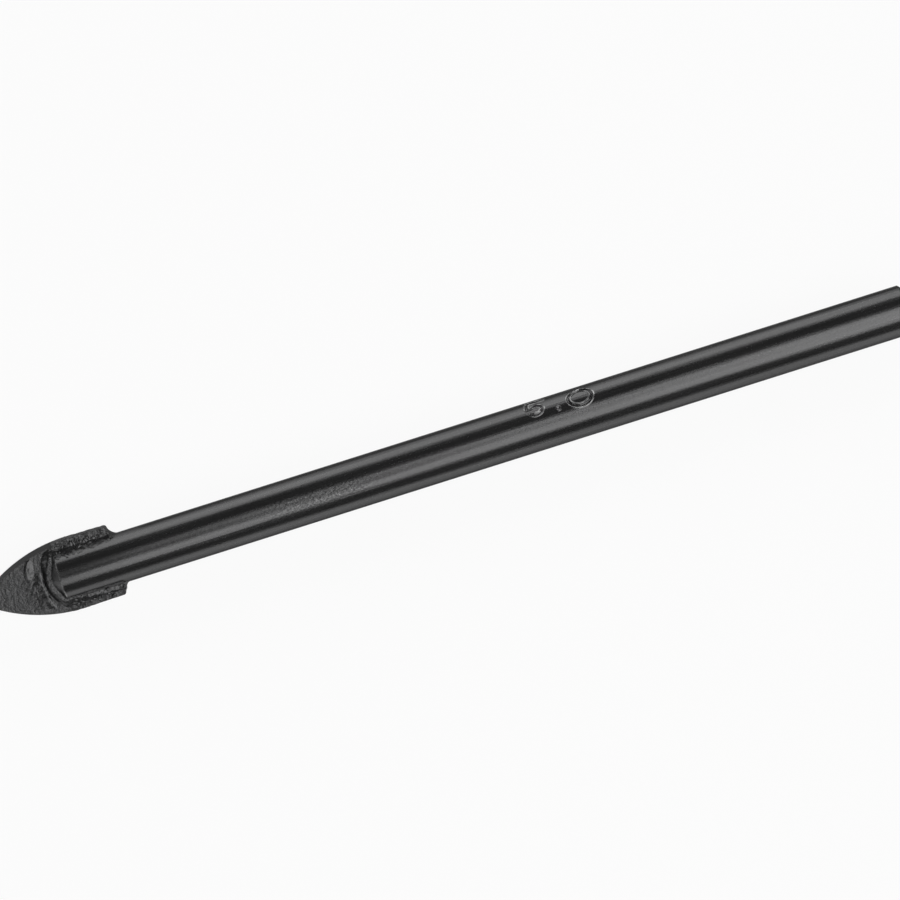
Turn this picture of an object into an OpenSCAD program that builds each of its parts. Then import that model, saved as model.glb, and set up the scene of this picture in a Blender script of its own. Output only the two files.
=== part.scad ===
// Glass and tile drill bit, 5 mm: a round steel shank with a slotted head,
// and a spear-point carbide tip brazed into the slot. All sizes are in millimetres.
// The bit's axis is X, with the shank's rear end at x = 0. It lies on its shank and one shoulder of its tip.
// Each piece is drawn with the carbide plate flat, in the XY plane, and then rolled to where it lies.

/* [Whole bit] */
// Overall length, from the shank's rear end to the point
overall_l = 70; // [50:1:120]

/* [Shank] */
// Diameter of the plain round shank
shank_d = 3.65; // [3.3:0.05:4]
// Chamfer on the rear end, along the axis and across it
rear_chamfer = 0.4; // [0.1:0.05:0.8]
// Chamfer that turns the head down to the slot
head_chamfer = 0.8; // [0.4:0.05:0.9]
// How much thinner the head is at its front than the plain shank, on the diameter
head_draw = 0.02; // [0.01:0.01:0.06]
// Length of the head that is drawn in, behind the chamfer
head_l = 5.5; // [5:0.1:8]

/* [Carbide tip] */
// Width across the cutting edges
tip_w = 5.2; // [5:0.05:6]
// Thickness of the carbide plate
tip_t = 1.4; // [1.2:0.05:1.5]
// Length of the carbide plate, from its back to the point
tip_l = 10.15; // [9.8:0.05:11]
// How far the point stands out past the end of the shank
tip_reach = 5.2; // [4.9:0.1:5.5]
// How much narrower each side of the plate is at its back
back_draw = 0.05; // [0.01:0.01:0.1]
// Length of the curved cutting edges, along the axis
ogive_l = 7; // [6.5:0.1:7.5]
// Length of the relief ground behind the cutting edges, along the axis
relief_l = 6; // [5:0.1:6.4]
// Angle of that relief
relief_angle = 10; // [4:1:15]

/* [Braze] */
// Thickness of the filler between the plate and the slot
braze_gap = 0.05; // [0.03:0.01:0.08]
// How far the filler spreads on the plate, past the widest part of the shank
braze_spread = 0.25; // [0.15:0.05:0.35]
// Radius of the hollow face of the filler along the shank
braze_hollow = 0.66; // [0.64:0.02:0.8]
// Height of the fillet above the slot
braze_rise = 0.22; // [0.16:0.02:0.24]
// Radius of the fillet between the shank and the back of the plate
shoulder_fillet = 0.55; // [0.3:0.05:0.6]

/* [Hidden] */
$fn = 96;
shank_r = shank_d / 2;
head_r = shank_r - head_draw / 2;
shank_end = overall_l - tip_reach;
chamfer_start = shank_end - head_chamfer;
head_start = chamfer_start - head_l;

tip_back = overall_l - tip_l;
ogive_start = overall_l - ogive_l;
relief_start = overall_l - relief_l;
half_w = tip_w / 2;
half_t = tip_t / 2;

// The two relief faces meet in the chisel edge, which crosses the axis at the point.
// This radius brings each cutting edge from the full width to the end of the chisel edge.
edge_drop = (half_w - tan(relief_angle) * half_t) * cos(relief_angle);
ogive_r = (ogive_l * ogive_l + edge_drop * edge_drop) / (2 * edge_drop);

// Roll about the axis that brings one shoulder of the plate down to the level of the shank's underside
lie_roll = asin(shank_r / norm([half_w, half_t])) - atan2(half_t, half_w);

slot_half = half_t + braze_gap;
slot_back = tip_back - braze_gap;
// The filler's edge on the plate, and where its fillet starts inside the head, both from the axis
toe_y = shank_r + braze_spread;
fillet_in = shank_r / 3;
// How far the hollow faces dip below the surfaces that they run out on, so that they meet them at an angle
fillet_dip = 0.02;
// Centre of the round front of the filler, which ends about half a millimetre past the shank
pool_x = shank_end + 0.57 - toe_y;

// Room that a cutting body keeps past what it cuts
past = 1;

// Rolls a piece to the way the bit lies.
module as_it_lies() {
    rotate([-lie_roll, 0, 0])
        children();
}

// Turns a profile drawn as [distance along the bit, radius] about the bit's axis.
module turned() {
    rotate([0, 90, 0])
        rotate_extrude()
            mirror([1, -1])
                children();
}

// The whole shank before its slot is cut.
module shank_blank() {
    turned()
        polygon([
            [0, 0],
            [0, shank_r - rear_chamfer],
            [rear_chamfer, shank_r],
            [head_start, shank_r],
            [chamfer_start, head_r],
            [shank_end, head_r - head_chamfer],
            [shank_end, 0]
        ]);
}

// A flat slab across the axis plane, from one point on the axis to past the bit's end.
module slab(from_x, half_thick) {
    translate([from_x, -tip_w, -half_thick])
        cube([overall_l - from_x + past, 2 * tip_w, 2 * half_thick]);
}

// The shank with the slot for the plate sawn through its head.
module slotted_shank() {
    difference() {
        shank_blank();
        slab(slot_back, slot_half);
    }
}

// Round bar with a chamfered rear end, a turned-down head and a slot for the plate.
module shank() {
    color("#2b2b2d")
        as_it_lies()
            slotted_shank();
}

// Outline of the plate: straight sides that open slightly forwards, then two arcs to the point.
module plate_outline() {
    polygon([
        [tip_back, -half_w + back_draw],
        [ogive_start, -half_w],
        [ogive_start, half_w],
        [tip_back, half_w - back_draw]
    ]);
    intersection() {
        translate([ogive_start, -half_w])
            square([ogive_l + past, tip_w]);
        for_both_sides()
            translate([ogive_start, half_w - ogive_r])
                circle(r = ogive_r);
    }
}

// The part of the plane that the same shape on both sides of the axis has in common.
module for_both_sides() {
    intersection() {
        children();
        mirror([0, 1])
            children();
    }
}

// What the grinding wheel takes off one side. The edge on the upper face stays, and the wall below it leans in.
module relief_cut() {
    difference() {
        translate([relief_start, -half_w, -tip_t])
            cube([relief_l + past, 1.5 * tip_w, 2 * tip_t]);
        translate([ogive_start, half_w, half_t])
            rotate([-relief_angle, 0, 0])
                translate([0, -ogive_r, 0])
                    cylinder(r = ogive_r, h = 8 * tip_t, center = true);
    }
}

// Flat plate with two ogive cutting edges, one on each face, and the chisel edge between them.
module carbide_tip() {
    color("#303031")
        as_it_lies()
            difference() {
                linear_extrude(tip_t, center = true)
                    plate_outline();
                for (turn = [0, 180])
                    rotate([turn, 0, 0])
                        relief_cut();
            }
}

// The film of filler between one face of the plate and the slot, which also runs out past the head.
module slot_film() {
    translate([0, 0, half_t])
        linear_extrude(braze_gap) {
            translate([tip_back, -toe_y])
                square([pool_x - tip_back, 2 * toe_y]);
            translate([pool_x, 0])
                circle(r = toe_y);
        }
}

// Section of the fillet on that film, as [distance from the axis, height]: hollow, and open towards the shank.
module fillet_section() {
    difference() {
        translate([fillet_in, slot_half])
            square([toe_y - fillet_in, braze_rise]);
        translate([toe_y, slot_half - fillet_dip + braze_hollow])
            circle(r = braze_hollow);
    }
}

// The fillet on one face of the plate: along both sides of the head, and round in front of it.
module face_fillet() {
    for (side = [0, 1])
        mirror([0, side, 0])
            translate([tip_back, 0, 0])
                rotate([90, 0, 90])
                    linear_extrude(pool_x - tip_back)
                        fillet_section();
    translate([pool_x, 0, 0])
        rotate([0, 0, -90])
            rotate_extrude(angle = 180)
                fillet_section();
}

// The filler behind the plate, as it would run all round: a film in the bottom of the slot and a hollow fillet.
module shoulder_ring() {
    turned()
        difference() {
            translate([tip_back - shoulder_fillet, 0])
                square([shoulder_fillet, head_r + shoulder_fillet]);
            translate([tip_back - shoulder_fillet, head_r + shoulder_fillet])
                circle(r = shoulder_fillet + fillet_dip);
        }
}

// Filler metal: a thin film in the slot, a fillet round the head on each face, and two behind the plate.
module braze() {
    color("#262627")
        as_it_lies()
            difference() {
                union() {
                    for (turn = [0, 180])
                        rotate([turn, 0, 0]) {
                            slot_film();
                            face_fillet();
                        }
                    intersection() {
                        shoulder_ring();
                        slab(tip_back - shoulder_fillet - past, slot_half);
                    }
                }
                slotted_shank();
            }
}

shank();
carbide_tip();
braze();
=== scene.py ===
import math

import bmesh
import bpy
import numpy as np
from mathutils import Matrix, Vector, noise


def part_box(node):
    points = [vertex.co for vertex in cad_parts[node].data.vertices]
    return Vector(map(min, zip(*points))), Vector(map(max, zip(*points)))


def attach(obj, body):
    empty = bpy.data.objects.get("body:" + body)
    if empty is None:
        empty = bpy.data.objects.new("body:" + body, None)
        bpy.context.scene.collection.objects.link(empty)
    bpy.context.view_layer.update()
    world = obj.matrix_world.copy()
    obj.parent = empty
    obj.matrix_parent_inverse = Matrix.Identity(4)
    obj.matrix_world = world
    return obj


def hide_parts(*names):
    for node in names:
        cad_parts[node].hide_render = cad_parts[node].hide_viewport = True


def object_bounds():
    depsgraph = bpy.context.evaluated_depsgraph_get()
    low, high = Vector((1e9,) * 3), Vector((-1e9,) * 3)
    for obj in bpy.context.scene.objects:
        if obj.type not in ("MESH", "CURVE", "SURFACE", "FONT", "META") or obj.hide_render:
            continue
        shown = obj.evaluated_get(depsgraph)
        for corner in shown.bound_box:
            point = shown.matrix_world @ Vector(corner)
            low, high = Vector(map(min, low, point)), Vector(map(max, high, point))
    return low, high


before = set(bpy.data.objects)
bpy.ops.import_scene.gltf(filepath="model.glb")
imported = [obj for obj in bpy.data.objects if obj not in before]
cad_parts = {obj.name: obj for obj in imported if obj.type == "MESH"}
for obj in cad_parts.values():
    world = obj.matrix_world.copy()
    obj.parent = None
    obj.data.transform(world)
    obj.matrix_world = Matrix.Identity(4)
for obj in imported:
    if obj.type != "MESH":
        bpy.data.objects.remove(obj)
cad_low, cad_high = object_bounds()

# Shank
# A length of drawn steel bar, chamfered at its rear end, with a slot sawn through its chamfered head.
# It has a thin satin black coat all over, and its size is struck into its side with a hand punch.
# Sizes are in millimetres. Each piece is drawn with the carbide plate flat, and then rolled to how it lies.
to_metres = 0.001
in_millimetres = 1 / to_metres
shank_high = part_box("shank")[1]
shank_r = shank_high.z / to_metres
shank_end = shank_high.x / to_metres
rear_chamfer = 0.4
head_l = 6.3
head_start = shank_end - head_l
head_chamfer = 0.8
chamfer_start = shank_end - head_chamfer
head_draw = 0.01
head_r = shank_r - head_draw
edge_round = 0.05

tip_low, tip_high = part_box("carbide_tip")
point_x = tip_high.x / to_metres
tip_back = tip_low.x / to_metres
half_w = 2.6
half_t = 0.7
braze_gap = 0.05
slot_half = half_t + braze_gap
lie_roll = math.asin(shank_r / math.hypot(half_w, half_t)) - math.atan2(half_t, half_w)
as_it_lies = Matrix.Rotation(-lie_roll, 4, "X") @ Matrix.Scale(to_metres, 4)
seam_gap = 0.0005
sliver = 0.0002


def rounded_profile(corners, radius, steps=5):
    """A turned profile's corners, as (distance along the bit, radius), with the inner ones eased to arcs."""
    points = [corners[0]]
    for before, corner, after in zip(corners, corners[1:], corners[2:]):
        back = (before - corner).normalized() * radius
        ahead = (after - corner).normalized() * radius
        for step in range(steps + 1):
            share = step / steps
            points.append(corner + back * (1 - share) ** 2 + ahead * share ** 2)
    return points + [corners[-1]]


def filled(values, start, stop, fine, coarse):
    """Those values in order, with more between them: fine steps from start to stop, and else coarse ones."""
    marks = sorted({*values, *(v for v in (start, stop) if min(values) < v < max(values))})
    result = []
    for low, high in zip(marks, marks[1:]):
        step = fine if start <= (low + high) / 2 <= stop else coarse
        result.extend(np.linspace(low, high, max(1, math.ceil((high - low) / step)), endpoint=False))
    return np.array(result + [marks[-1]])


def skin(name, rings, capped=False):
    """A closed mesh over rings of points, in an array of ring by point by coordinate."""
    count, around = rings.shape[:2]
    faces = []
    for ring in range(count - 1):
        for point in range(around):
            after = (point + 1) % around
            first, second = ring * around, (ring + 1) * around
            faces.append((first + point, first + after, second + after, second + point))
    if capped:
        faces.append(tuple(range(around)))
        faces.append(tuple(range((count - 1) * around, count * around)))
    mesh = bpy.data.meshes.new(name)
    mesh.from_pydata(rings.reshape(-1, 3).tolist(), [], faces)
    return mesh


def finished(mesh, crease=30):
    """Closes a mesh's seams, points its faces outwards, smooths it up to that angle and rolls it to how it
    lies."""
    edit = bmesh.new()
    edit.from_mesh(mesh)
    bmesh.ops.remove_doubles(edit, verts=edit.verts, dist=seam_gap)
    bmesh.ops.dissolve_degenerate(edit, edges=edit.edges, dist=sliver)
    bmesh.ops.recalc_face_normals(edit, faces=edit.faces)
    edit.to_mesh(mesh)
    edit.free()
    mesh.polygons.foreach_set("use_smooth", [True] * len(mesh.polygons))
    mesh.set_sharp_from_angle(angle=math.radians(crease))
    mesh.transform(as_it_lies)
    mesh.update()
    return mesh


def placed(name, content):
    """A new object at the frame's origin, with that mesh, lamp or camera."""
    made = bpy.data.objects.new(name, content)
    bpy.context.scene.collection.objects.link(made)
    return made


# The struck size: each figure is a list of strokes, in units across and up from the figure's own centre.
figure_wide = 0.88
figure_high = 0.66
bowl = [(0.62 * math.cos(a) - 0.05, 0.55 * math.sin(a) - 0.42) for a in np.linspace(2.2, -2.5, 24)]
round_stroke = [(math.cos(a), math.sin(a)) for a in np.linspace(0, 2 * math.pi, 40)]
figure_strokes = {
    "five": [[(0.75, 0.95), (-0.6, 0.95)], [(-0.6, 0.95), (-0.7, 0.02)], [(-0.7, 0.02), bowl[0]], bowl],
    "dot": [[(0, -0.86), (0.04, -0.86)]],
    "nought": [round_stroke],
}
figure_places = {"five": (27.9, 0.14), "dot": (26.3, -0.02), "nought": (24.6, -0.20)}
figure_angle = math.radians(49)
stroke_half = 0.12
stroke_depth = 0.11
rim_height = 0.035
rim_half = 0.05


def struck_depth(along, round_bar):
    """How far the punched figures push the surface in (negative) or up, at places along and round the bar,
    and how much of the raised rim there is at each place."""
    nearest = np.full(along.shape, np.inf)
    for figure, strokes in figure_strokes.items():
        for stroke in strokes:
            for (x0, y0), (x1, y1) in zip(stroke, stroke[1:]):
                start = np.array([x0 * figure_wide, y0 * figure_high])
                reach = np.array([x1 * figure_wide, y1 * figure_high]) - start
                across = figure_places[figure][0] - along - start[0]
                up = round_bar - figure_places[figure][1] - start[1]
                share = np.clip((across * reach[0] + up * reach[1]) / max(reach @ reach, 1e-9), 0, 1)
                nearest = np.minimum(nearest, np.hypot(across - share * reach[0], up - share * reach[1]))
    groove = np.clip(1 - (nearest / stroke_half) ** 2, 0, 1) ** 1.5
    rim = np.exp(-(((nearest - stroke_half - rim_half * 0.6) / rim_half) ** 2))
    uneven = 0.8 + 0.35 * np.sin(along * 2.3 + 1.0) * np.cos(round_bar * 2.1 + along)
    return uneven * (rim_height * rim - stroke_depth * groove), rim


# The bar's rings are close together only where the figures are struck.
fine_along = (22.8, 29.4)
fine_round = (-0.72, 0.66)
steps_along = (0.025, 0.7)
steps_round = (0.0137, 0.085)
struck_from, struck_to, struck_turn = 22.5, 29.6, 0.9
profile = rounded_profile(
    [
        Vector((0, 0)),
        Vector((0, shank_r - rear_chamfer)),
        Vector((rear_chamfer, shank_r)),
        Vector((head_start, shank_r)),
        Vector((chamfer_start, head_r)),
        Vector((shank_end, head_r - head_chamfer)),
        Vector((shank_end, 0)),
    ],
    edge_round,
)
walls = [point for point in profile if point.y > 0]
wall_x = np.maximum.accumulate([point.x for point in walls])
body_ends = wall_x[(wall_x > rear_chamfer) & (wall_x < head_start)].tolist()
body = filled(body_ends, *fine_along, *steps_along)
rear_end = [(p.x, p.y) for p in walls if p.x <= rear_chamfer]
front_end = [(p.x, p.y) for p in walls if p.x >= head_start]
outline = np.array([(0, 0), *rear_end, *((x, shank_r) for x in body), *front_end, (shank_end, 0)])
turn = filled([-math.pi, math.pi], *fine_round, *steps_round)[:-1]
along, angle = np.meshgrid(outline[:, 0], turn, indexing="ij")
radius = np.repeat(outline[:, 1:], len(turn), axis=1)
near_figures = (along > struck_from) & (along < struck_to) & (np.abs(angle) < struck_turn)
pushed, rims = struck_depth(along[near_figures], angle[near_figures] * shank_r)
radius[near_figures] += pushed
bar_rings = np.stack(
    [along, -radius * np.sin(angle + figure_angle), radius * np.cos(angle + figure_angle)], axis=-1
)
rubbed = np.zeros(along.shape)
rubbed[near_figures] = rims
bar = placed("shank_bar", skin("shank_bar", bar_rings))
bar.data.attributes.new("rubbed", "FLOAT", "POINT").data.foreach_set("value", rubbed.ravel())
merge = bmesh.new()
merge.from_mesh(bar.data)
bmesh.ops.remove_doubles(merge, verts=merge.verts, dist=seam_gap)
bmesh.ops.recalc_face_normals(merge, faces=merge.faces)
merge.to_mesh(bar.data)
merge.free()

saw_half = Vector((10, 5, slot_half))
saw = placed("slot_saw", bpy.data.meshes.new("slot_saw"))
saw_edit = bmesh.new()
bmesh.ops.create_cube(saw_edit, size=2)
bmesh.ops.scale(saw_edit, vec=saw_half, verts=saw_edit.verts)
bmesh.ops.translate(saw_edit, vec=(tip_back - braze_gap + saw_half.x, 0, 0), verts=saw_edit.verts)
saw_edit.to_mesh(saw.data)
saw_edit.free()
cut = bar.modifiers.new("slot", "BOOLEAN")
cut.operation = "DIFFERENCE"
cut.solver = "EXACT"
cut.object = saw
slotted = bpy.data.meshes.new_from_object(bar.evaluated_get(bpy.context.evaluated_depsgraph_get()))
bpy.data.objects.remove(bar)
bpy.data.objects.remove(saw)
shank = placed("coated_shank", finished(slotted))


class Wire:
    """One output of a node. Python's operators on wires and numbers add Math nodes to its tree."""

    def __init__(self, tree, socket=None):
        self.tree = tree
        self.socket = socket

    def node(self, kind, settings=None, sockets=None, out=0):
        """Adds a node: its settings are set first, and then its sockets are given a value or linked."""
        made = self.tree.nodes.new(kind)
        for key, value in (settings or {}).items():
            setattr(made, key, value)
        for key, value in (sockets or {}).items():
            if isinstance(value, Wire):
                self.tree.links.new(value.socket, made.inputs[key])
            else:
                made.inputs[key].default_value = value
        return Wire(self.tree, made.outputs[out])

    def out(self, key):
        """Another output of the same node."""
        return Wire(self.tree, self.socket.node.outputs[key])

    def maths(self, operation, first, second=0.0, clamp=False):
        """Adds a Math node with that operation on two wires or numbers."""
        settings = {"operation": operation, "use_clamp": clamp}
        return self.node("ShaderNodeMath", settings, {0: first, 1: second})

    def __add__(self, other):
        return self.maths("ADD", self, other)

    def __radd__(self, other):
        return self.maths("ADD", other, self)

    def __sub__(self, other):
        return self.maths("SUBTRACT", self, other)

    def __rsub__(self, other):
        return self.maths("SUBTRACT", other, self)

    def __mul__(self, other):
        return self.maths("MULTIPLY", self, other)

    def __rmul__(self, other):
        return self.maths("MULTIPLY", other, self)

    def __truediv__(self, other):
        return self.maths("DIVIDE", self, other)

    def __pow__(self, other):
        return self.maths("POWER", self, other)

    def __abs__(self):
        return self.maths("ABSOLUTE", self)

    def at_least(self, other):
        return self.maths("MAXIMUM", self, other)

    def above(self, other):
        return self.maths("GREATER_THAN", self, other)

    def clamped(self):
        return self.maths("ADD", self, 0.0, clamp=True)

    def ramp(self, low, high):
        """0 up to low, 1 from high on, and a smooth step between them."""
        settings = {"interpolation_type": "SMOOTHSTEP"}
        return self.node("ShaderNodeMapRange", settings, {"Value": self, "From Min": low, "From Max": high})

    def part(self, axis):
        """One coordinate of a vector."""
        return self.node("ShaderNodeSeparateXYZ", {}, {0: self}, axis)

    def stretched(self, x, y, z):
        """A vector scaled by another amount on each axis."""
        return self.node("ShaderNodeVectorMath", {"operation": "MULTIPLY"}, {0: self, 1: (x, y, z)})

    def grain(self, per_mm, detail=2.0, roughness=0.5):
        """Noise from -0.5 to 0.5 on a place in millimetres."""
        sockets = {"Vector": self, "Scale": per_mm, "Detail": detail, "Roughness": roughness}
        return self.node("ShaderNodeTexNoise", {}, sockets, 0) - 0.5


def satin_black(name, dark, light, roughness, relief):
    """A thin satin black coat. relief gives, from the place in millimetres, the height of its surface in
    millimetres, how dusty or rubbed it is from 0 to 1, and what to add to its roughness."""
    material = bpy.data.materials.new(name)
    material.use_nodes = True
    tree = material.node_tree
    shader = tree.nodes["Principled BSDF"]
    start = Wire(tree)
    metres = start.node("ShaderNodeTexCoord", {}, {}, "Object")
    height, rubbed, rougher = relief(metres.stretched(in_millimetres, in_millimetres, in_millimetres))
    colour = start.node("ShaderNodeMix", {"data_type": "RGBA"}, {0: rubbed, 6: (*dark, 1), 7: (*light, 1)}, 2)
    bump = start.node("ShaderNodeBump", {}, {"Strength": 1.0, "Distance": to_metres, "Height": height})
    tree.links.new(colour.socket, shader.inputs["Base Color"])
    tree.links.new((rougher + roughness).socket, shader.inputs["Roughness"])
    tree.links.new(bump.socket, shader.inputs["Normal"])
    shader.inputs["Metallic"].default_value = 0.88
    shader.inputs["Specular Tint"].default_value = (0.25, 0.25, 0.25, 1)
    shader.inputs["Specular IOR Level"].default_value = 0.2
    return material


shank_black = (0.060, 0.060, 0.061)
shank_rubbed = (0.42, 0.42, 0.42)
shank_roughness = 0.25
scuff_x = 44.6
scuff_y = 0.72


def drawn_bar(place):
    """Long drawing lines along the bar, a fine orange-peel coat, a scuffed patch on one side, a few dust
    specks, rubbed edges, and rings on the rear end where it was cut off."""
    lines = place.stretched(0.06, 3.5, 3.5).grain(1.6, 3.0)
    peel = place.grain(5.0, 2.0)
    patch = 1 - abs(place.part("X") - scuff_x).ramp(2.0, 5.0)
    side = (1 - abs(place.part("Y") - scuff_y).ramp(0.3, 0.75)) * place.part("Z").ramp(0.5, 1.0)
    scuffed = patch * side
    scuffs = place.stretched(0.6, 1.6, 1.6).grain(7.0, 4.0, 0.7)
    speckle = place.stretched(0.8, 1.0, 1.0).grain(9.0, 2.0)
    dust = place.grain(9.0, 2.0).ramp(0.20, 0.26)
    worn = place.node("ShaderNodeAttribute", {"attribute_name": "rubbed"}, {}, "Fac")
    head_edge = 1 - abs(place.part("X") - chamfer_start).ramp(0.02, 0.09)
    bare = (worn * 0.8 + head_edge * 0.5) * place.grain(2.4, 2.0).ramp(-0.14, 0.14)
    from_axis = (place.part("Y") ** 2.0 + place.part("Z") ** 2.0) ** 0.5
    rings = place.node("ShaderNodeCombineXYZ", {}, {"X": from_axis}).grain(6.0, 3.0, 0.6)
    cut_end = 1 - place.part("X").ramp(0.005, 0.03)
    height = lines * 0.007 + peel * 0.003 + scuffs * (scuffed * 0.006 + 0.003) + speckle * scuffed * 0.007
    height = height + rings * cut_end * 0.012
    shade = 0.14 + lines * 0.13 + speckle * (0.12 + scuffed * 0.9) + dust * 0.08 + bare
    return height, shade.clamped(), lines * 0.10 + scuffs * 0.12


shank.data.materials.clear()
shank.data.materials.append(satin_black("shank_coat", shank_black, shank_rubbed, shank_roughness, drawn_bar))
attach(shank, "root")
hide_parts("shank")

# Carbide tip
# One plate of tungsten carbide, pressed and sintered to a spear shape, so its faces and sides are grainy.
# Both curved edges are ground to a relief, one on each face, and they meet in a chisel edge at the point.
# Its outline follows a rule: straight sides, then an arc on each side, drawn by a Geometry Nodes tree.
ogive_l = 7
ogive_start = point_x - ogive_l
relief_l = 6
relief_start = point_x - relief_l
relief_angle = math.radians(10)
back_draw = 0.05
edge_drop = (half_w - math.tan(relief_angle) * half_t) * math.cos(relief_angle)
ogive_r = (ogive_l ** 2 + edge_drop ** 2) / (2 * edge_drop)
border_across = (1.9, 2.25)
border_end = (63.7, 64.6)
plate_stations = 270
face_points = 92
wall_points = 22
point_gap = 0.0004
tip_black = (0.094, 0.094, 0.095)
tip_dust = (0.19, 0.19, 0.192)
tip_roughness = 0.30


def grown(name, inputs, build):
    """Builds a Geometry Nodes tree with those named inputs, and returns what it grows as a plain mesh."""
    tree = bpy.data.node_groups.new(name, "GeometryNodeTree")
    tree.interface.new_socket("Geometry", in_out="OUTPUT", socket_type="NodeSocketGeometry")
    kinds = {int: "NodeSocketInt", float: "NodeSocketFloat", bpy.types.Material: "NodeSocketMaterial"}
    keys = {}
    for label, value in inputs.items():
        made = tree.interface.new_socket(label, in_out="INPUT", socket_type=kinds[type(value)])
        keys[label] = made.identifier
    entry = tree.nodes.new("NodeGroupInput")
    wires = {label: Wire(tree, entry.outputs[label]) for label in inputs}
    shape = build(Wire(tree), wires)
    real = shape.node("GeometryNodeRealizeInstances", {}, {0: shape})
    coated = real.node("GeometryNodeSetMaterial", {}, {"Geometry": real, "Material": wires["Coat"]})
    leave = tree.nodes.new("NodeGroupOutput")
    tree.links.new(coated.socket, leave.inputs[0])
    holder = placed(name, bpy.data.meshes.new(name))
    grow = holder.modifiers.new(name, "NODES")
    grow.node_group = tree
    for label, value in inputs.items():
        grow[keys[label]] = value
    mesh = bpy.data.meshes.new_from_object(holder.evaluated_get(bpy.context.evaluated_depsgraph_get()))
    bpy.data.objects.remove(holder)
    return mesh


def spear_plate(start, size):
    """Rings of points along the plate: over its upper face, down one wall, back under it and up the other."""
    around = 2 * (face_points + wall_points)
    counts = {"Size X": 1.0, "Size Y": 1.0, "Vertices X": plate_stations, "Vertices Y": around + 1}
    grid = start.node("GeometryNodeMeshGrid", {}, counts)
    flat = start.node("GeometryNodeInputPosition")
    first = 1 / (plate_stations - 1)
    u = flat.part("X") + 0.5
    v = flat.part("Y") + 0.5
    x = size["Back"] + (size["Point"] - size["Back"]) * (u - first).at_least(0.0) / (1 - first)

    arc = (x - size["Ogive start"]).at_least(0.0)
    drop = size["Ogive radius"] - (size["Ogive radius"] ** 2 - arc ** 2).at_least(0.0) ** 0.5
    draw = size["Back draw"] * (size["Ogive start"] - x).at_least(0.0) / (size["Ogive start"] - size["Back"])
    ground = x.above(size["Relief start"])
    pressed_edge = size["Half width"] - draw - drop
    ground_edge = size["Half width"] - drop / math.cos(relief_angle)
    corner = (size["Corner round"] - x + size["Back"]).at_least(0.0)
    corner_cut = size["Corner round"] - (size["Corner round"] ** 2 - corner ** 2).at_least(0.0) ** 0.5
    edge = pressed_edge + (ground_edge - pressed_edge) * ground - corner_cut
    lean = ground * size["Half thickness"] * (2 * math.tan(relief_angle))

    face_share = face_points / around
    wall_share = wall_points / around
    over = (v / face_share).clamped()
    down = ((v - face_share) / wall_share).clamped()
    under = ((v - face_share - wall_share) / face_share).clamped()
    up = ((v - 2 * face_share - wall_share) / wall_share).clamped()
    y = lean - edge + (2 * edge - lean) * over - lean * down - (2 * edge - lean) * under + lean * up
    z = size["Half thickness"] * (1 - 2 * down + 2 * up)
    behind_cap = u.above(first / 2)

    wall_half = wall_share / 2 + 0.001
    from_right = abs(v - (face_share + wall_share / 2))
    from_left = abs(v - (1 - wall_share / 2))
    on_right = 1 - from_right.above(wall_half)
    on_left = 1 - from_left.above(wall_half) * (1 - from_left.above(1 - wall_half))
    wheel = ground * (on_right + on_left).clamped()
    marked = start.node(
        "GeometryNodeStoreNamedAttribute",
        {"data_type": "FLOAT", "domain": "POINT"},
        {"Geometry": grid, "Name": "ground", "Value": wheel},
    )
    spot = start.node("ShaderNodeCombineXYZ", {}, {"X": x, "Y": y * behind_cap, "Z": z * behind_cap})
    drawn = start.node("GeometryNodeSetPosition", {}, {"Geometry": marked, "Position": spot})
    closed = start.node("GeometryNodeMergeByDistance", {}, {"Geometry": drawn, "Distance": point_gap})

    here = start.node("GeometryNodeInputPosition")
    pressed = 1 - start.node("GeometryNodeInputNamedAttribute", {"data_type": "FLOAT"}, {"Name": "ground"})
    border = abs(here.part("Y")).ramp(*border_across) * (1 - here.part("X").ramp(*border_end))
    coarse = here.stretched(1.15, 0.8, 1.0).grain(1.6, 2.0)
    fine = here.stretched(1.15, 0.85, 1.0).grain(4.8, 3.0, 0.6)
    normal = start.node("GeometryNodeInputNormal")
    flat_face = 0.3 + 0.7 * abs(normal.part("Z")).ramp(0.72, 0.98)
    bumps = coarse * (0.55 + border * 1.4) + fine * (0.4 + border * 0.9)
    lumps = size["Lump height"] * bumps * pressed * flat_face
    push = start.node("ShaderNodeVectorMath", {"operation": "SCALE"}, {0: normal, "Scale": lumps})
    return start.node("GeometryNodeSetPosition", {}, {"Geometry": closed, "Offset": push})


def sintered(place):
    """Sharp grain all over the pressed faces; the ground relief is smooth, with only a faint fine grain."""
    pressed = 1 - place.node("ShaderNodeAttribute", {"attribute_name": "ground"}, {}, "Fac")
    coarse = place.grain(4.0, 3.0, 0.6)
    fine = place.grain(13.0, 2.0)
    faint = place.grain(22.0, 1.0)
    height = (coarse * 0.085 + fine * 0.02) * pressed + faint * 0.0012
    dust = place.grain(11.0, 2.0).ramp(0.16, 0.24)
    return height, dust * 0.4, coarse * 0.15 * pressed + pressed * 0.10


tip_sizes = {
    "Back": tip_back,
    "Point": point_x,
    "Half width": half_w,
    "Half thickness": half_t,
    "Back draw": back_draw,
    "Ogive start": ogive_start,
    "Ogive radius": ogive_r,
    "Relief start": relief_start,
    "Corner round": 0.22,
    "Lump height": 0.15,
    "Coat": satin_black("tip_coat", tip_black, tip_dust, tip_roughness, sintered),
}
tip = placed("coated_carbide_tip", finished(grown("spear_plate", tip_sizes, spear_plate), 35))
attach(tip, "root")
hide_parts("carbide_tip")

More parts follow.
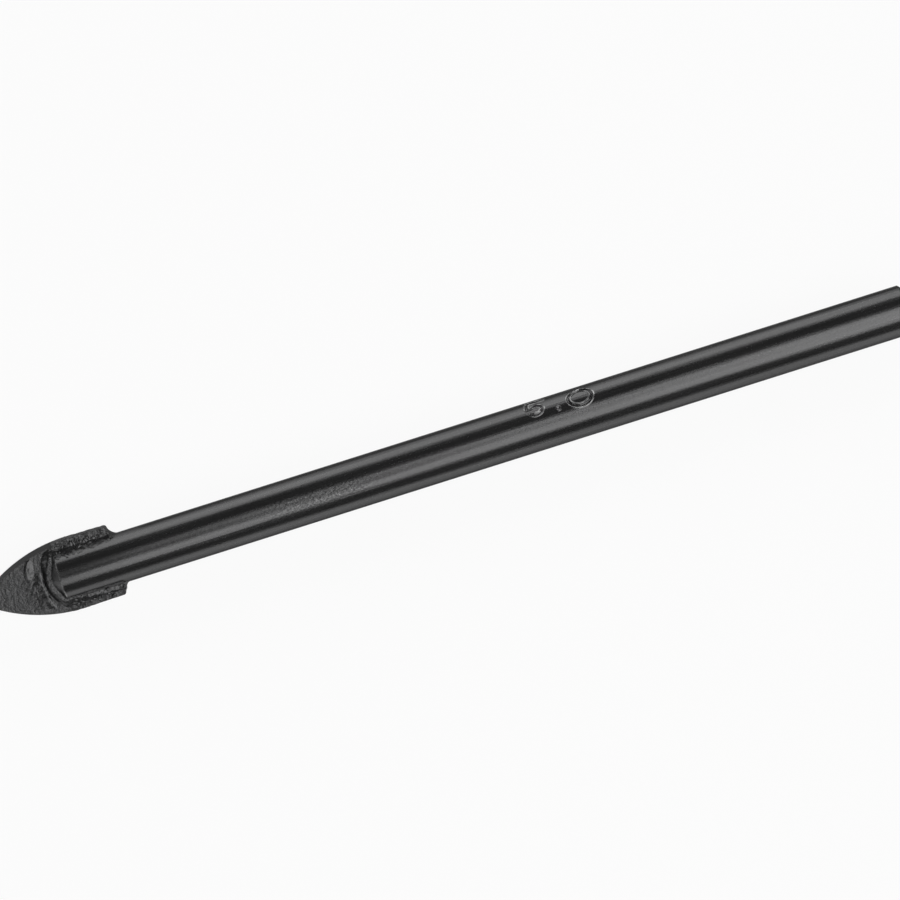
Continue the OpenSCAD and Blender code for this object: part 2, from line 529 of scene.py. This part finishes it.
# Braze
# The filler metal that holds the plate in the slot. It was melted in, so it runs out along the head in a
# hollow fillet and a bank, in front of it in a ledge, a raised rim and a blob, and behind each shoulder.
# It is lumpy all over, under the same black coat.
cell = 0.042
sunk = 0.04
thinnest = 0.008
sheet_front = 66.75
sheet_half = 2.48
edge_fade = 0.12
corner_ease = 0.10
bank_l = 3.6
bank_foot_y = 2.22
ledge_start = 63.75
ledge_blend = 0.6
ledge_high = 0.46
ledge_reach = 0.33
rim_front = 65.42
rim_flat = 0.04
rim_base = 0.060
blob_slant = 0.25
blob_steepness = 0.12
braze_black = (0.086, 0.086, 0.087)
braze_dust = (0.16, 0.16, 0.162)
braze_roughness = 0.28


def rough_value(x, y, per_mm, seed):
    """Smooth noise over the plate's face, from about -1 to 1."""
    flat = [noise.noise((a * per_mm, b * per_mm, seed)) for a, b in zip(x.ravel(), y.ravel())]
    return np.array(flat).reshape(x.shape)


def hollow_fillet(x, y, spread):
    """Height of a hollow fillet between the plate's face and the round head, spreading that far on both."""
    head_here = head_r - np.maximum(x - chamfer_start, 0)
    low = np.zeros(x.shape)
    high = spread.copy()
    for _ in range(24):
        middle = (low + high) / 2
        from_head = np.clip((np.hypot(y, half_t + middle) - head_here) / spread, 0, 1)
        filled_up = (1 - from_head) ** 2 + (1 - middle / spread) ** 2 > 1
        low = np.where(filled_up, middle, low)
        high = np.where(filled_up, high, middle)
    return low


def outside_head(x, y, level):
    """Distance from the outline that the head has at that level above the axis, less than 0 inside it."""
    from_axis = np.hypot(y, level)
    beside = (from_axis - head_r) * from_axis / np.maximum(np.abs(y), 0.2)
    chamfered = (from_axis - head_r + x - chamfer_start) / np.hypot(1, y / from_axis)
    walls = (beside, chamfered, x - shank_end)
    return corner_ease * np.log(sum(np.exp(wall / corner_ease) for wall in walls))


def inside_face(x, y):
    """1 on the plate's face, falling to 0 at its edge, which the relief brings in on one side."""
    arc = np.maximum(x - ogive_start, 0)
    edge = half_w - (ogive_r - np.sqrt(ogive_r ** 2 - arc ** 2)) / math.cos(relief_angle)
    lean = 2 * half_t * math.tan(relief_angle) * (y < 0) * (x > relief_start)
    return np.clip((edge - lean - np.abs(y)) / edge_fade, 0, 1)


def filler_height(x, y, seed, blob):
    """Height of the filler over the plate's face. blob is its blob's place, two radii and height."""
    forward = np.clip((x - tip_back) / bank_l, 0, 1)
    spread = np.where(y > 0, 0.36, 0.36 + 0.18 * forward) + 0.10 * rough_value(x, y * 0.2, 1.6, seed + 3)
    fillet = hollow_fillet(x, y, spread)
    bank_top = 0.09 + 0.14 * forward ** 2
    bank_run = 0.17 + 0.40 * forward ** 2
    bank_foot = bank_foot_y + 0.06 * rough_value(x, y * 0.2, 2.4, seed + 9)
    bank = bank_top * np.clip((bank_foot - y) / bank_run, 0, 1) * (y > 0)

    ledge_top = ledge_high - 0.07 * y ** 2
    from_ledge = outside_head(x, y, half_t + ledge_top) - ledge_reach
    fall = np.clip(from_ledge / (0.34 + 0.24 * np.clip(-y - 0.6, 0, 1)), 0, 1)
    ledge = ledge_top * (1 - fall ** 2 * (3 - 2 * fall))

    rim_x = rim_front - 0.095 * y ** 2
    rim_fade = np.clip((y + 1.0) / 0.6, 0, 1) * np.clip((2.1 - y) / 0.35, 0, 1)
    rim_lip = 0.040 * np.clip((y + 0.6) / 0.8, 0, 1)
    before_rim = np.maximum(rim_x - rim_flat - x, 0)
    past_rim = np.maximum(x - rim_x - rim_flat, 0)
    inner_flank = (rim_lip + rim_base) * np.clip(1 - before_rim / 0.17, 0, 1)
    outer_flank = rim_lip * np.exp(-((past_rim / 0.24) ** 2)) + rim_base * np.exp(-((past_rim / 0.85) ** 2))
    rim = np.where(before_rim > 0, inner_flank, outer_flank) * rim_fade
    ahead = np.clip((x - ledge_start) / ledge_blend, 0, 1)
    height = np.maximum(fillet, bank) * (1 - ahead) + np.maximum(ledge, rim) * ahead

    blob_x, blob_y, blob_l, blob_w, blob_h = blob
    blob_ahead = x - blob_x - blob_slant * (y - blob_y)
    from_blob = (blob_ahead / blob_l) ** 2 + ((y - blob_y) / blob_w) ** 2
    from_blob = np.clip(from_blob * (1 + 0.25 * rough_value(x, y, 1.1, seed + 5)), 0, 1)
    steep = 0.5 + 0.5 * np.tanh(blob_ahead / blob_steepness)
    dome = (1 - steep) * (1 - from_blob) ** 2 + steep * (1 - from_blob ** 3)
    height = np.maximum(height, dome * (blob_h + 0.06 * blob_ahead))

    shown = np.clip(height / 0.06, 0, 1) * (1 - 0.8 * steep * np.clip(dome * 3, 0, 1))
    shown = shown * (1 - 0.65 * ahead * np.clip(ledge / 0.2, 0, 1))
    lumps = 0.035 * rough_value(x, y, 2.2, seed) + 0.022 * rough_value(x, y, 6.0, seed + 7)
    return (height + shown * lumps) * inside_face(x, y)


def filler_sheet(name, seed, blob):
    """The filler on one face of the plate, as a closed lump that is sunk a little into the plate."""
    xs = np.arange(tip_back - braze_gap, sheet_front, cell)
    ys = np.arange(-sheet_half, sheet_half + cell, cell)
    x, y = np.meshgrid(xs, ys, indexing="ij")
    height = filler_height(x, y, seed, blob)
    wanted = height > thinnest
    edit = bmesh.new()
    corners = {}

    def corner(i, j):
        if (i, j) not in corners:
            corners[i, j] = edit.verts.new((x[i, j], y[i, j], half_t + height[i, j]))
        return corners[i, j]

    for i in range(len(xs) - 1):
        for j in range(len(ys) - 1):
            if wanted[i:i + 2, j:j + 2].all():
                edit.faces.new((corner(i, j), corner(i + 1, j), corner(i + 1, j + 1), corner(i, j + 1)))
    lower = bmesh.ops.extrude_face_region(edit, geom=edit.faces[:])
    for made in lower["geom"]:
        if isinstance(made, bmesh.types.BMVert):
            made.co.z = half_t - sunk
    mesh = bpy.data.meshes.new(name)
    edit.to_mesh(mesh)
    edit.free()
    return mesh


root_depth = 0.05
into_plate = 0.15
into_shank = 0.3


def shoulder_fillet(name, side, start, bend, end, seed):
    """The filler behind one shoulder of the plate. start, bend and end are places on its hollow face, as the
    distance ahead of the plate's back and out from the axis."""
    start, bend, end = ((tip_back + place[0], place[1]) for place in (start, bend, end))
    rings = []
    for level in np.linspace(-half_t, half_t, 30):
        wall = math.sqrt(shank_r ** 2 - level ** 2)
        drop = shank_r - wall
        shrink = 1 - 0.25 * abs(level / half_t) ** 6
        ring = []
        for share in np.linspace(0, 1, 14):
            near, between, far = (1 - share) ** 2, 2 * share * (1 - share), share ** 2
            x = near * start[0] + between * bend[0] + far * end[0]
            y = near * (start[1] - drop) + between * (bend[1] - drop) + far * end[1]
            y = wall - root_depth + (y - wall + root_depth) * shrink
            bulge = 0.035 * noise.noise((x * 3, level * 3, seed))
            ring.append((x - bulge, side * (y + bulge), level))
        ring.append((tip_back + into_plate, ring[-1][1], level))
        ring.append((tip_back + into_plate, side * (wall - into_shank), level))
        ring.append((start[0], side * (wall - into_shank), level))
        rings.append(ring)
    return skin(name, np.array(rings), capped=True)


def melted(place):
    """Small lumps and pits in the filler under the coat."""
    lumps = place.grain(3.2, 3.0, 0.55)
    fine = place.grain(11.0, 2.0)
    dust = place.grain(10.0, 2.0).ramp(0.17, 0.24)
    return lumps * 0.032 + fine * 0.010, dust * 0.3, lumps * 0.12


upper_blob = (66.02, -1.15, 0.43, 0.92, 0.12)
under_blob = (65.6, 1.2, 0.55, 0.65, 0.12)
over_turn = Matrix.Rotation(math.pi, 4, "X")
filler = bmesh.new()
filler.from_mesh(filler_sheet("upper_filler", 3.1, upper_blob))
under = filler_sheet("under_filler", 17.7, under_blob)
under.transform(over_turn)
filler.from_mesh(under)
filler.from_mesh(shoulder_fillet("near_fillet", 1, (-0.55, 1.80), (-0.15, 1.85), (-0.07, 2.27), 5.0))
filler.from_mesh(shoulder_fillet("far_fillet", -1, (-0.64, 1.80), (-0.25, 1.83), (-0.03, 2.34), 9.0))
filler_mesh = bpy.data.meshes.new("braze_filler")
filler.to_mesh(filler_mesh)
filler.free()
braze_coat = satin_black("braze_coat", braze_black, braze_dust, braze_roughness, melted)
filler_mesh.materials.append(braze_coat)
braze = placed("coated_braze", finished(filler_mesh, 50))
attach(braze, "root")
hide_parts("braze")

# Spatter
# Small beads of filler that splashed beside the joint and froze there, on the plate and low on the head.
# They are under the same black coat as the rest of the filler, and a Geometry Nodes tree scatters them.
# A row is the place of its middle along the bit, out from the axis and up, and then its length and width.
plate_row = (tip_back + 2.0, 2.12, half_t, 3.4, 0.45)
head_row = (tip_back + 2.6, 1.78, 0.84, 3.0, 0.10)
bead_flatness = 0.45
longest_bead = 1.8
shortest_bead = 0.9


def spattered(start, size):
    """Beads at random in both rows, on each side of each face of the plate."""
    bead = start.node("GeometryNodeMeshIcoSphere", {}, {"Radius": 1.0, "Subdivisions": 2})
    join = start.tree.nodes.new("GeometryNodeJoinGeometry")
    turns = [(side, face, row) for row in (plate_row, head_row) for face in (1, -1) for side in (1, -1)]
    for number, (side, face, row) in enumerate(turns):
        row_x, row_y, row_z, row_l, row_w = row
        extent = {"Size X": row_l, "Size Y": row_w, "Vertices X": 2, "Vertices Y": 2}
        strip = start.node("GeometryNodeMeshGrid", {}, extent)
        place = (row_x, side * row_y, face * row_z)
        border = start.node("GeometryNodeTransform", {}, {"Geometry": strip, "Translation": place})
        spots = start.node(
            "GeometryNodeDistributePointsOnFaces",
            {"distribute_method": "RANDOM"},
            {"Mesh": border, "Density": size["Beads per square"], "Seed": 11 + number},
        )
        draws = []
        for low, high, seed in ((0.0, 1.0, 31), (shortest_bead, longest_bead, 51), (0.0, math.tau, 71)):
            limits = {2: low, 3: high, "Seed": seed + number}
            draws.append(start.node("FunctionNodeRandomValue", {"data_type": "FLOAT"}, limits, 1))
        bigger, longer, bearing = draws
        across = size["Smallest bead"] + (size["Largest bead"] - size["Smallest bead"]) * bigger ** 2.0
        sides = {"X": across * longer, "Y": across, "Z": across * bead_flatness}
        spread = start.node("ShaderNodeCombineXYZ", {}, sides)
        turned = start.node("ShaderNodeCombineXYZ", {}, {"Z": bearing})
        beads = start.node(
            "GeometryNodeInstanceOnPoints",
            {},
            {"Points": spots, "Instance": bead, "Rotation": turned, "Scale": spread},
        )
        start.tree.links.new(beads.socket, join.inputs[0])
    real = start.node("GeometryNodeRealizeInstances", {}, {0: Wire(start.tree, join.outputs[0])})
    lump = start.node("GeometryNodeInputPosition").grain(5.0, 2.0) * size["Lump height"]
    normal = start.node("GeometryNodeInputNormal")
    push = start.node("ShaderNodeVectorMath", {"operation": "SCALE"}, {0: normal, "Scale": lump})
    return start.node("GeometryNodeSetPosition", {}, {"Geometry": real, "Offset": push})


spatter_sizes = {
    "Beads per square": 28.0,
    "Smallest bead": 0.05,
    "Largest bead": 0.17,
    "Lump height": 0.14,
    "Coat": braze_coat,
}
spatter = placed("coated_spatter", finished(grown("spatter_beads", spatter_sizes, spattered), 60))
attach(spatter, "root")
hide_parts("braze")

# Studio
# A pale floor in a dim room with white walls. Three soft lights hang in front of the bit and above it, with
# a gap that closes towards the rear, and one low behind it. Three low cards keep the floor's reflection off
# its sides and the end of its head. The camera looks down on it at the photograph's angle.
floor_level = cad_low.z
floor_radius = 12.0
floor_grey = 0.90
floor_glow = 0.92
floor_mesh = bpy.data.meshes.new("floor")
floor_edit = bmesh.new()
bmesh.ops.create_circle(floor_edit, cap_ends=True, radius=floor_radius, segments=96)
bmesh.ops.translate(floor_edit, vec=(0, 0, floor_level), verts=floor_edit.verts)
floor_edit.to_mesh(floor_mesh)
floor_edit.free()
floor = placed("floor", floor_mesh)
floor_paint = bpy.data.materials.new("floor_paint")
floor_paint.use_nodes = True
floor_tree = floor_paint.node_tree
floor_shader = floor_tree.nodes["Principled BSDF"]
floor_shader.inputs["Base Color"].default_value = (floor_grey, floor_grey, floor_grey, 1)
floor_shader.inputs["Roughness"].default_value = 0.9
floor_shader.inputs["Specular IOR Level"].default_value = 0.1
floor_start = Wire(floor_tree)
path = floor_start.node("ShaderNodeLightPath", {}, {}, "Is Camera Ray")
seen = (path + path.out("Is Glossy Ray") + path.out("Is Transmission Ray")).clamped()
glow = floor_start.node("ShaderNodeEmission", {}, {"Color": (1, 1, 1, 1), "Strength": 1.0})
painted = Wire(floor_tree, floor_shader.outputs[0])
shown = floor_start.node("ShaderNodeMixShader", {}, {0: seen * floor_glow, 1: painted, 2: glow})
floor_tree.links.new(shown.socket, floor_tree.nodes["Material Output"].inputs["Surface"])
floor.data.materials.append(floor_paint)

# The room's walls are white near the floor and dim above it, with pale panels in its corners.
panel_light = 1.3
room_light = 0.02
room = bpy.data.worlds.new("room")
bpy.context.scene.world = room
room.use_nodes = True
room_start = Wire(room.node_tree)
direction = room_start.node("ShaderNodeTexCoord", {}, {}, "Generated")
wall = 1 - direction.part("Z").ramp(0.10, 0.16)
corners = abs(direction.part("X")).ramp(0.42, 0.62) * abs(direction.part("Y")).ramp(0.22, 0.42)
panels = corners * (1 - direction.part("Z").ramp(0.45, 0.75))
strength = wall + (1 - wall) * (panels * panel_light + room_light)
background = room.node_tree.nodes["Background"]
room.node_tree.links.new(strength.socket, background.inputs["Strength"])
background.inputs["Color"].default_value = (1, 1, 1, 1)

plate_tilt = math.radians(7)
camera_lean = lie_roll - plate_tilt
toward_camera = Vector((0, math.sin(camera_lean), math.cos(camera_lean)))
picture_up = Vector((0, -math.cos(camera_lean), math.sin(camera_lean)))
toward_point = Vector((1, 0, 0))
lamp_distance = 0.9
lamps_start = -0.9


def softbox(name, low, high, stop, brightness):
    """An area lamp that fills the angles from low to high about the bit, counted in degrees from the camera,
    and reaches along the bit from behind its rear end to stop."""
    angle = math.radians(low + high) / 2
    wide = 2 * lamp_distance * math.tan(math.radians(high - low) / 2)
    long = stop - lamps_start
    lamp = bpy.data.lights.new(name, "AREA")
    lamp.shape = "RECTANGLE"
    lamp.size = long
    lamp.size_y = wide
    lamp.energy = brightness * math.pi * long * wide
    out = toward_camera * math.cos(angle) + picture_up * math.sin(angle)
    facing = Matrix((toward_point, out.cross(toward_point), out)).transposed().to_4x4()
    middle = toward_point * (lamps_start + stop) / 2
    placed(name, lamp).matrix_world = Matrix.Translation(middle + out * lamp_distance) @ facing


softbox("front_softbox", -41.5, -15, 0.23, 1.85)
softbox("middle_softbox", -15, 3, 0.01, 2.2)
softbox("upper_softbox", 3, 16.5, 0.10, 1.8)
softbox("back_softbox", 69, 103, 0.35, 1.5)

card_lift = 0.0001


def stood_card(name, start, stop, high, grey):
    """A low card of one grey that stands on the floor from start to stop, and shows only in reflections."""
    low = floor_level + card_lift
    card_mesh = bpy.data.meshes.new(name)
    card_mesh.from_pydata([(*start, low), (*stop, low), (*stop, high), (*start, high)], [], [(0, 1, 2, 3)])
    paint = bpy.data.materials.new(name)
    paint.use_nodes = True
    card_shader = paint.node_tree.nodes["Principled BSDF"]
    card_shader.inputs["Base Color"].default_value = (grey, grey, grey, 1)
    card_shader.inputs["Roughness"].default_value = 0.9
    card_mesh.materials.append(paint)
    card = placed(name, card_mesh)
    card.visible_camera = False
    card.visible_shadow = False
    card.visible_diffuse = False


stood_card("front_card", (-0.05, 0.0105), (0.12, 0.0105), 0.0036, 0.01)
stood_card("back_card", (-0.05, -0.0075), (0.058, -0.0075), 0.0004, 0.30)
stood_card("end_card", (0.090, -0.012), (0.090, 0.012), 0.0055, 0.35)

picture_turn = math.radians(17.57)
frame_width = 64.75 * to_metres
aim_x = 34.6
aim_up = 0.235
aim = Vector((aim_x, 0, 0)) * to_metres + picture_up * aim_up * to_metres
camera_data = bpy.data.cameras.new("camera")
camera_data.lens = 200
camera_data.sensor_width = 36
camera_data.clip_start = 0.01
camera_data.clip_end = 100
camera = placed("camera", camera_data)
right = picture_up * -math.sin(picture_turn) - toward_point * math.cos(picture_turn)
up = picture_up * math.cos(picture_turn) - toward_point * math.sin(picture_turn)
camera_distance = frame_width / 2 * camera_data.lens / (camera_data.sensor_width / 2)
camera.matrix_world = (
    Matrix.Translation(aim + toward_camera * camera_distance)
    @ Matrix((right, up, toward_camera)).transposed().to_4x4()
)
bpy.context.scene.camera = camera
bpy.context.scene.view_settings.view_transform = "Standard"
